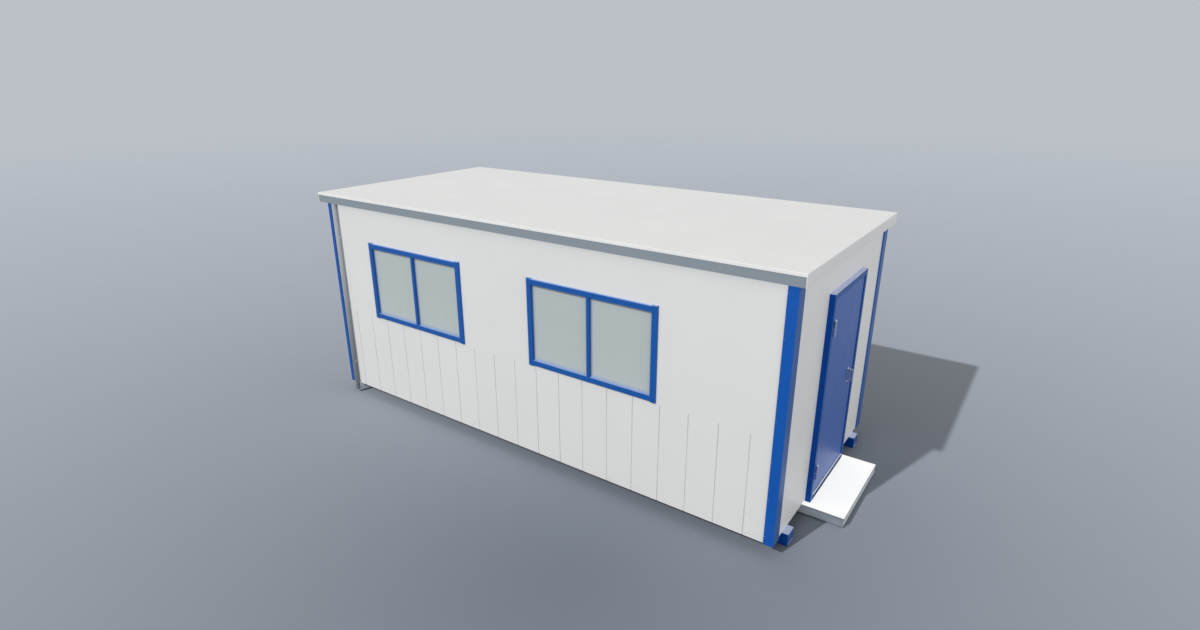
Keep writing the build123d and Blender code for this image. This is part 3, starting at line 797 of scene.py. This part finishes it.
def gutter_rivets():
    """Small rivets that hold each gutter to the edge of the roof panel."""
    mesh = bmesh.new()
    for side_name, side in SIDES:
        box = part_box(f"eaves_gutter_{side_name}")
        y, z = face(box, "y", side), box[1].z - GUTTER_RIVET_DROP
        start, end = box[0].x + GUTTER_RIVET_FROM_END, box[1].x - GUTTER_RIVET_FROM_END
        for x in spaced(start, end, GUTTER_RIVET_GAP):
            rivet(mesh, (x, y, z), (0, side, 0), GUTTER_RIVET_RADIUS)
    return smooth(piece("gutter_rivets", mesh, looks["grey_steel"], "root"))


def clamp_screws():
    """A pinch screw in the side of each clamp of the downpipes."""
    mesh = bmesh.new()
    for name in ("downpipe_front", "downpipe_back"):
        low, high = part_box(name)
        places = [vertex.co for vertex in frame["nodes"][name].data.vertices]
        heights = sorted({round(place.z, 4) for place in places if place.x > high.x - 1e-4})
        clamps = [(a + b) / 2 for a, b in zip(heights, heights[1:]) if b - a < CLAMP_TALLEST]
        for z in clamps:
            for x, out in ((low.x, -1), (high.x, 1)):
                hex_screw(mesh, (x, (low.y + high.y) / 2, z), (out, 0, 0), CLAMP_SCREW_RADIUS)
    return smooth(piece("clamp_screws", mesh, looks["plated_steel"], "root"))


gutter_rivets()
clamp_screws()


# ---------------------------------------------------------------- skids
WELD_INSET = 0.008


def skid_welds():
    """Fillet welds round the plates that close the skids' ends."""
    mesh = bmesh.new()
    for name in ("skid_front", "skid_back"):
        low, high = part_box(name)
        y0, y1 = low.y + WELD_INSET, high.y - WELD_INSET
        z0, z1 = low.z + WELD_INSET, high.z - WELD_INSET
        for x in (low.x, high.x):
            corners = [(x, y0, z0), (x, y1, z0), (x, y1, z1), (x, y0, z1)]
            weld_bead(mesh, corners + corners[:1])
    return smooth(piece("skid_welds", mesh, looks["blue_steel"], "root"), 60)


skid_welds()


# ---------------------------------------------------------------- door
HINGE_SCREW_FROM_SIDE = 0.011
HINGE_SCREW_FIRST, HINGE_SCREW_LAST = 0.012, 0.066
HINGE_SCREW_GAP = 0.027
FINIAL = [
    (0.92, -0.0005),
    (0.92, 0.0015),
    (0.70, 0.0022),
    (0.66, 0.0040),
    (0.74, 0.0065),
    (0.58, 0.0098),
    (0.30, 0.0116),
    (0.0, 0.0120),
]
HANDLE_PLATE = 0.003
HANDLE_SCREW_INSET = 0.0065
HANDLE_SCREW_RADIUS = 0.0038


def hinge_screws(node, body, top, side):
    """Screws in a hinge's plates, counted from their top or their foot, on the side away from the
    pin."""
    mesh = bmesh.new()
    for box in islands(node):
        end = face(box, "z", top)
        y = face(box, "y", side) - side * HINGE_SCREW_FROM_SIDE
        places = sorted(end - top * step for step in (HINGE_SCREW_FIRST, HINGE_SCREW_LAST))
        for z in spaced(*places, HINGE_SCREW_GAP):
            pan_screw(mesh, (plate_front, y, z), (1, 0, 0))
    return smooth(piece(f"{node}_screws", mesh, hinge_steel, body))


def hinge_finials():
    """The domed head of each hinge pin."""
    mesh = bmesh.new()
    for low, high in islands("hinge_door_side"):
        radius = (high.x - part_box("door_frame")[1].x) / 2
        at = (high.x - radius, low.y + radius, high.z)
        lathe(mesh, [(radius * share, up) for share, up in FINIAL], at, (0, 0, 1), steps=20)
    return smooth(piece("hinge_finials", mesh, bright_strip, "door"))


def handle_screws():
    """One screw in each end plate of the pull."""
    mesh = bmesh.new()
    low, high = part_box("door_handle")
    x, y = low.x + HANDLE_PLATE, (low.y + high.y) / 2
    for z in (low.z + HANDLE_SCREW_INSET, high.z - HANDLE_SCREW_INSET):
        pan_screw(mesh, (x, y, z), (1, 0, 0), HANDLE_SCREW_RADIUS)
    return smooth(piece("handle_screws", mesh, looks["plated_steel"], "door"))


hinge_screws("hinge_frame_side", "root", top=-1, side=-1)
hinge_screws("hinge_door_side", "door", top=1, side=1)
hinge_finials()
handle_screws()


# ---------------------------------------------------------------- doorway
DOOR_GAP = 0.006
STOP_GAP = 0.005
SEAL = [
    (0.003, -0.0005),
    (0.003, 0.0016),
    (0.0040, 0.0032),
    (0.0055, 0.0042),
    (0.0075, 0.0042),
    (0.0090, 0.0032),
    (0.010, 0.0016),
    (0.010, -0.0005),
]
NOSING_END_GAP = 0.001
NOSING_TOP = 0.0068
NOSING_DROP = 0.008
NOSING_THICK = 0.0015
NOSING = [
    (-NOSING_TOP, 0.0),
    (-NOSING_TOP, NOSING_THICK),
    (NOSING_THICK * 0.5, NOSING_THICK),
    (NOSING_THICK * 0.9, NOSING_THICK * 0.85),
    (NOSING_THICK, NOSING_THICK * 0.4),
    (NOSING_THICK, -NOSING_DROP),
    (0.0, -NOSING_DROP),
    (0.0, 0.0),
]


def door_seal():
    """The rubber bulb that the leaf closes on, round the face of the frame's stop."""
    mesh = bmesh.new()
    low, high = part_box("door_leaf")
    face_x = low.x - STOP_GAP
    mitred_frame(
        mesh,
        (low.y - DOOR_GAP, low.z - DOOR_GAP),
        (high.y + DOOR_GAP, high.z + DOOR_GAP),
        SEAL,
        lambda u, v, up: (face_x + up, u, v),
    )
    return smooth(piece("door_seal", mesh, seal_rubber, "root"), 50)


def sill_nosing():
    """The bright angle strip along the front edge of the sill."""
    mesh = bmesh.new()
    sill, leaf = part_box("door_sill"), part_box("door_leaf")
    edge_x, edge_z = sill[1].x, leaf[0].z - DOOR_GAP
    extrude(
        mesh,
        NOSING,
        sill[0].y + NOSING_END_GAP,
        sill[1].y - NOSING_END_GAP,
        lambda out, up, along: (edge_x + out, along, edge_z + up),
    )
    return smooth(piece("sill_nosing", mesh, bright_strip, "root"))


door_seal()
sill_nosing()


# ---------------------------------------------------------------- inside
SUNK_IN = 0.0005
SKIRTING_HEIGHT = 0.07
SKIRTING_THICK = 0.010
SKIRTING = [
    (-SUNK_IN, 0.0),
    (SKIRTING_THICK, 0.0),
    (SKIRTING_THICK, SKIRTING_HEIGHT - 0.008),
    (SKIRTING_THICK * 0.8, SKIRTING_HEIGHT - 0.003),
    (SKIRTING_THICK * 0.4, SKIRTING_HEIGHT),
    (-SUNK_IN, SKIRTING_HEIGHT),
]
STRIP_GAP = 1.2
STRIP_HALF = 0.022
STRIP_THICK = 0.004
STRIP = [
    (-STRIP_HALF, SUNK_IN),
    (STRIP_HALF, SUNK_IN),
    (STRIP_HALF, -STRIP_THICK / 2),
    (STRIP_HALF * 0.6, -STRIP_THICK),
    (-STRIP_HALF * 0.6, -STRIP_THICK),
    (-STRIP_HALF, -STRIP_THICK / 2),
]


def skirting():
    """Skirting round the foot of the walls, open at the doorway."""
    mesh = bmesh.new()
    floor_low, floor_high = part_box("floor_deck")
    top = floor_high.z
    door_low, door_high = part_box("door_frame")
    x0, x1, y0, y1 = floor_low.x, floor_high.x, floor_low.y, floor_high.y
    for y, inward in ((y0, 1), (y1, -1)):
        extrude(mesh, SKIRTING, x0, x1, lambda a, b, t, y=y, k=inward: (t, y + k * a, top + b))
    for x, inward, start, end in (
        (x0, 1, y0 + SKIRTING_THICK, y1 - SKIRTING_THICK),
        (x1, -1, y0 + SKIRTING_THICK, door_low.y),
        (x1, -1, door_high.y, y1 - SKIRTING_THICK),
    ):
        extrude(mesh, SKIRTING, start, end, lambda a, b, t, x=x, k=inward: (x + k * a, t, top + b))
    return piece("skirting", mesh, looks["insulated_panel"], "root")


def ceiling_strips():
    """Cover strips over the joints of the ceiling boards."""
    mesh = bmesh.new()
    low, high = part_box("ceiling")
    for x in spaced(low.x, high.x, STRIP_GAP)[1:-1]:
        extrude(mesh, STRIP, low.y, high.y, lambda a, b, t, x=x: (x + a, t, low.z + b))
    return piece("ceiling_strips", mesh, looks["ceiling_board"], "root")


skirting()
ceiling_strips()


# ---------------------------------------------------------------- floor, light and camera
FLOOR_RADIUS = 90.0
FLOOR_FADE = (16.0, 60.0)
# Painted shade: the floor is darker round a point in front of the cabin.
FLOOR_NEAR = rgb(0.207, 0.237, 0.286)
FLOOR_FAR = rgb(0.630, 0.675, 0.740)
FLOOR_MIDDLE = (1.5, -2.5, 0.0)
FLOOR_HALF_WAY = 6.0
BACKDROP = rgb(0.503, 0.533, 0.571)
SKY_STRENGTH = 0.40
KEY_DIRECTION = (0.83, 2.88, -2.605)
KEY_STRENGTH = 1.97
KEY_SPREAD = 1.0
STEP_KEY_STRENGTH = 2.80
FILL_DIRECTION = (-1.0, 0.3, -0.35)
FILL_STRENGTH = 1.34
FILL_SPREAD = 70.0
LENS = 20.304
SENSOR_WIDTH = 36.0
CLIP_END = 300.0
VIEW_FROM = (4.328, -6.110, 4.0126)
VIEW_DOWN = 20.039
VIEW_TURN = 35.105


def studio_floor():
    """A plain floor with painted shade round a point in front of the cabin, paler further off, that
    fades into the backdrop.
    """
    mesh = bmesh.new()
    bmesh.ops.create_circle(mesh, cap_ends=True, segments=96, radius=FLOOR_RADIUS)
    data = bpy.data.meshes.new("studio_floor")
    mesh.to_mesh(data)
    mesh.free()
    made = bpy.data.objects.new("studio_floor", data)
    bpy.context.scene.collection.objects.link(made)
    paint = Paint("studio_floor", 0.9, specular=0.1)
    offset = paint.node("ShaderNodeVectorMath", operation="DISTANCE")
    paint.put(paint.place, offset.inputs[0])
    offset.inputs[1].default_value = FLOOR_MIDDLE
    distance = offset.outputs["Value"]
    share = paint.math("DIVIDE", distance, paint.math("ADD", distance, FLOOR_HALF_WAY))
    tone = paint.mix(paint.range(share, -0.05, 1.1), FLOOR_NEAR, FLOOR_FAR)
    tone = paint.mix(paint.range(paint.noise(0.8, 5.0), 0.3, 0.7, 0.0, 0.012), tone, GRIME)
    paint.put(paint.range(distance, *FLOOR_FADE, 1.0, 0.0), paint.shader.inputs["Alpha"])
    data.materials.append(paint.finish(tone))
    return made


def studio_world():
    """Even light all round, with the pale backdrop seen directly, in gloss and through glass."""
    world = bpy.data.worlds.new("studio")
    bpy.context.scene.world = world
    world.use_nodes = True
    tree = world.node_tree
    background = tree.nodes["Background"]
    background.inputs["Color"].default_value = rgb(1.0, 1.0, 1.0)
    background.inputs["Strength"].default_value = SKY_STRENGTH
    seen = tree.nodes.new("ShaderNodeBackground")
    seen.inputs["Color"].default_value = BACKDROP
    ray = tree.nodes.new("ShaderNodeLightPath")
    shown = ray.outputs["Is Camera Ray"]
    for kind in ("Is Transmission Ray", "Is Glossy Ray"):
        either = tree.nodes.new("ShaderNodeMath")
        either.operation = "MAXIMUM"
        tree.links.new(shown, either.inputs[0])
        tree.links.new(ray.outputs[kind], either.inputs[1])
        shown = either.outputs[0]
    chosen = tree.nodes.new("ShaderNodeMixShader")
    tree.links.new(shown, chosen.inputs["Fac"])
    tree.links.new(background.outputs[0], chosen.inputs[1])
    tree.links.new(seen.outputs[0], chosen.inputs[2])
    tree.links.new(chosen.outputs[0], tree.nodes["World Output"].inputs["Surface"])


def linked(name, state, *objects):
    """A group of objects that a lamp's light reaches, or that it leaves out."""
    group = bpy.data.collections.new(name)
    for made in objects:
        group.objects.link(made)
    for row in group.collection_objects:
        row.light_linking.link_state = state
    return group


def sun(name, direction, strength, spread, lights=None, blockers=None):
    """A lamp whose light travels along direction, from a disc that spreads over some degrees."""
    lamp = bpy.data.lights.new(name, "SUN")
    lamp.energy = strength
    lamp.angle = math.radians(spread)
    made = bpy.data.objects.new(name, lamp)
    made.rotation_mode = "QUATERNION"
    made.rotation_quaternion = Vector(direction).to_track_quat("-Z", "Y")
    made.light_linking.receiver_collection = lights
    made.light_linking.blocker_collection = blockers
    bpy.context.scene.collection.objects.link(made)


floor = studio_floor()
studio_world()
step_top, step_sides = frame["nodes"]["step_tread"], frame["nodes"]["step_base"]
only_step = linked("only_step", "INCLUDE", step_top)
no_gutter = linked("all_but_gutter", "EXCLUDE", frame["nodes"]["eaves_gutter_front"])
no_step = linked("all_but_step", "EXCLUDE", step_top, step_sides)
no_floor = linked("all_but_floor", "EXCLUDE", floor)
sun("key", KEY_DIRECTION, KEY_STRENGTH, KEY_SPREAD, no_step, no_gutter)
sun("step_key", KEY_DIRECTION, STEP_KEY_STRENGTH, KEY_SPREAD, only_step, only_step)
sun("fill", FILL_DIRECTION, FILL_STRENGTH, FILL_SPREAD, no_floor)

camera = bpy.data.cameras.new("camera")
camera.sensor_width = SENSOR_WIDTH
camera.lens = LENS
camera.clip_end = CLIP_END
viewer = bpy.data.objects.new("camera", camera)
viewer.location = VIEW_FROM
viewer.rotation_euler = (math.radians(90.0 - VIEW_DOWN), 0.0, math.radians(VIEW_TURN))
bpy.context.scene.collection.objects.link(viewer)
bpy.context.scene.camera = viewer

bpy.context.scene.view_settings.view_transform = "Standard"
